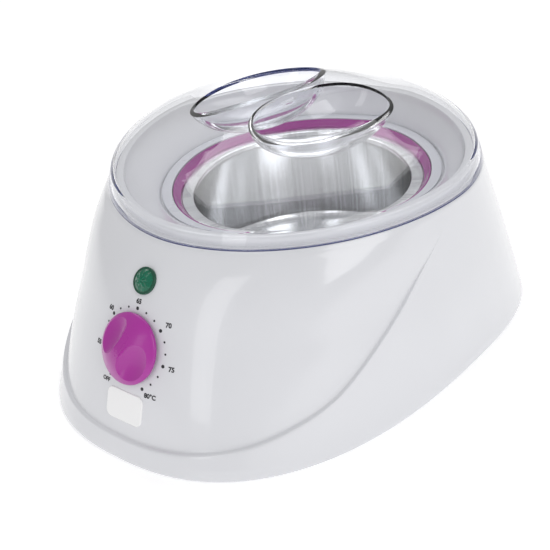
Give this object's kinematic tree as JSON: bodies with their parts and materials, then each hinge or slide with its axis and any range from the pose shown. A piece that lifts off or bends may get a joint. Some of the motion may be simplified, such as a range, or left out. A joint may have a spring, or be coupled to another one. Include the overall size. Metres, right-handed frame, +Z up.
{
  "type": "wax warmer pot",
  "caption": "Free-standing wax heater with a lift-out aluminium pot, a clear lid with finger recesses, a thermostat dial and a pilot lamp on a sloping front.",
  "frame": {"origin": "on the table under the middle of the part's outline", "axes": "+Z up; -Y is the front with the knob; +X is to the right of someone facing the front"},
  "size_m": [0.1926, 0.2355, 0.1169],
  "materials": {
    "housing_white": "glossy moulded white",
    "base_white": "satin moulded white",
    "collar_grey": "satin light grey",
    "accent_magenta": "glossy magenta",
    "knob_magenta": "satin gloss magenta",
    "lid_clear": "clear moulded",
    "lamp_green": "translucent faceted green",
    "bulb_glass": "clear",
    "pot_aluminium": "brushed spun",
    "chamber_aluminium": "as cast",
    "plated_steel": "zinc plated",
    "foot_rubber": "matt black",
    "heater_silicone": "orange silicone",
    "glass_fibre_wrap": "woven sleeve",
    "terminal_ceramic": "unglazed",
    "thermostat_black": "phenolic black",
    "bulb_copper": "bright drawn copper",
    "shaft_brass": "turned",
    "label_white": "blank printed foil",
    "gland_grey": "dark grey moulded",
    "lead_red": "silicone sleeve",
    "lead_blue": "silicone sleeve"
  },
  "bodies": {
    "base": {"accent_ring": "accent_magenta", "base_plate": "base_white", "base_screw_1": "plated_steel", "base_screw_2": "plated_steel", "base_screw_3": "plated_steel", "base_screw_4": "plated_steel", "centre_bolt": "plated_steel", "chamber_stand": "plated_steel", "clamp_screw": "plated_steel", "collar_ring": "collar_grey", "cord_gland": "gland_grey", "foot_1": "foot_rubber", "foot_2": "foot_rubber", "foot_3": "foot_rubber", "foot_4": "foot_rubber", "gland_nut": "gland_grey", "heater_band": "heater_silicone", "heater_clamp": "plated_steel", "heating_chamber": "chamber_aluminium", "insulation_wrap": "glass_fibre_wrap", "label_plate": "label_white", "lamp_holder": "terminal_ceramic", "lamp_retainer": "plated_steel", "lead_fuse": "lead_blue", "lead_heater": "lead_red", "lead_return": "lead_blue", "lead_supply": "lead_red", "neon_bulb": "bulb_glass", "pilot_lens": "lamp_green", "sensing_bulb": "bulb_copper", "terminal_block": "terminal_ceramic", "thermal_fuse": "terminal_ceramic", "thermostat_body": "thermostat_black", "thermostat_nut": "plated_steel", "upper_housing": "housing_white"},
    "lid": {"clear_lid": "lid_clear"},
    "pot": {"wax_pot": "pot_aluminium"},
    "knob": {"control_knob": "knob_magenta", "thermostat_shaft": "shaft_brass"}
  },
  "joints": [
    {"name": "lid_lift", "type": "slide", "parent": "base", "child": "lid", "axis": [0, 0, 1], "range_m": [0, 0.12]},
    {"name": "pot_lift", "type": "slide", "parent": "base", "child": "pot", "axis": [0, 0, 1], "range_m": [0, 0.06]},
    {"name": "knob_turn", "type": "hinge", "parent": "base", "child": "knob", "pos_m": [0, -0.0993, 0.0472], "axis": [0, 0.8894, -0.4571], "range_deg": [0, 290]}
  ],
  "couplings": [
    {"joint": "pot_lift", "follows": "lid_lift", "ratio": 0.5}
  ]
}
